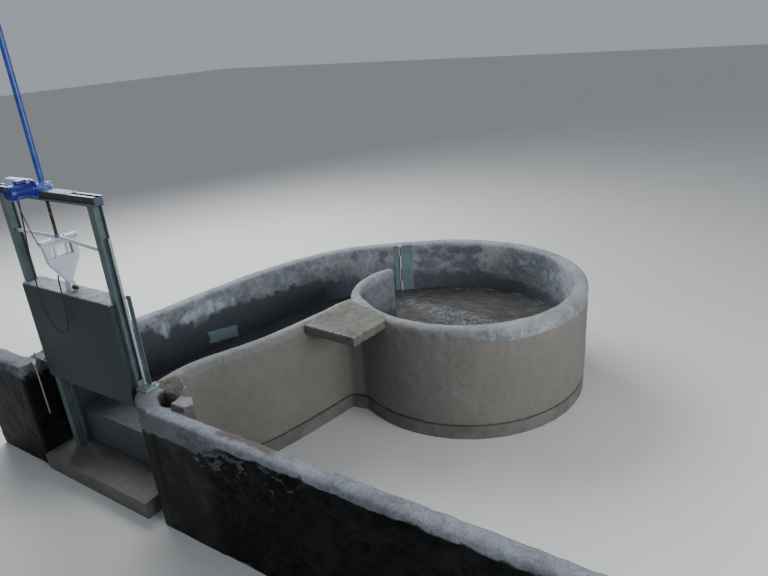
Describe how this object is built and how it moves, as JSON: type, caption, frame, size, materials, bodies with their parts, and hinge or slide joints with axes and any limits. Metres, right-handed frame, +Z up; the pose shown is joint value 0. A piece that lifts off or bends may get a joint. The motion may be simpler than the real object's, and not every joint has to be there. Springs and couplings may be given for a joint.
{
  "type": "vortex hydropower intake with sluice gate",
  "caption": "Small hydropower intake: river wall, inlet channel with a motorised steel sluice gate on a portal, and a round open vortex basin entered past a curved tongue.",
  "frame": {"origin": "under the middle of the gate sill, on the level underside of the floor, in the plane of the gate's stem", "axes": "+Z up, +X along the river wall away from the gate, +Y down the channel from the gate to the basin"},
  "size_m": [6.6198, 4.9033, 4.45],
  "materials": {
    "dry_concrete": "hand-rendered concrete, dry, light grey, rough",
    "wet_concrete": "concrete darkened by water, rough",
    "gate_green": "grey-green paint on steel, satin, weathered",
    "pale_steel": "pale grey-green paint on steel, satin",
    "white_paint": "white paint on steel, satin, scuffed",
    "drive_blue": "blue enamel on cast housings, semi-gloss",
    "light_blue": "lighter blue paint on the gear housing, semi-gloss",
    "greased_steel": "threaded steel under dark grease",
    "grey_plastic": "light grey moulded enclosure",
    "black_cable": "black rubber sheath, matt",
    "gauge_paint": "white gauge board with red marks"
  },
  "bodies": {
    "root": {"basin_floor": "wet_concrete", "channel_floor": "wet_concrete", "basin_wall_1": "dry_concrete", "basin_wall_2": "dry_concrete", "basin_wall_3": "dry_concrete", "basin_wall_4": "dry_concrete", "scroll_wall_1": "dry_concrete", "scroll_wall_2": "dry_concrete", "far_channel_wall_1": "dry_concrete", "far_channel_wall_2": "dry_concrete", "near_channel_wall": "dry_concrete", "tongue_wall": "dry_concrete", "tongue_root": "dry_concrete", "landing_slab": "dry_concrete", "gate_sill": "wet_concrete", "gate_pier_right": "dry_concrete", "gate_pier_left": "dry_concrete", "river_wall": "wet_concrete", "river_coping": "dry_concrete", "bank_wall": "dry_concrete", "corner_haunch": "dry_concrete", "column_right": "gate_green", "column_left": "gate_green", "base_plate_right": "gate_green", "base_plate_left": "gate_green", "side_bar": "pale_steel", "rear_post": "gate_green", "head_beam_front": "gate_green", "head_beam_rear": "gate_green", "drive_plate": "pale_steel", "gear_housing": "light_blue", "motor_body": "drive_blue", "motor_fan_cover": "drive_blue", "terminal_box": "drive_blue", "control_box": "grey_plastic", "cover_pipe": "drive_blue", "basin_plate": "gate_green", "basin_gauge": "gauge_paint", "gate_gauge": "gauge_paint", "cable_drive": "black_cable", "cable_limit": "black_cable"},
    "leaf": {"leaf_skin": "gate_green", "leaf_top_plate": "pale_steel", "leaf_rib_1": "gate_green", "leaf_rib_2": "gate_green", "leaf_rib_3": "gate_green", "clevis": "white_paint", "clevis_pin": "greased_steel", "hoist_bracket": "white_paint", "stem": "greased_steel", "guide_arm_left": "white_paint", "guide_arm_right": "white_paint", "cable_leaf": "black_cable"}
  },
  "joints": [
    {"name": "gate_lift", "type": "slide", "parent": "root", "child": "leaf", "axis": [0, 0, 1], "range_m": [-0.87, 0.2]}
  ]
}
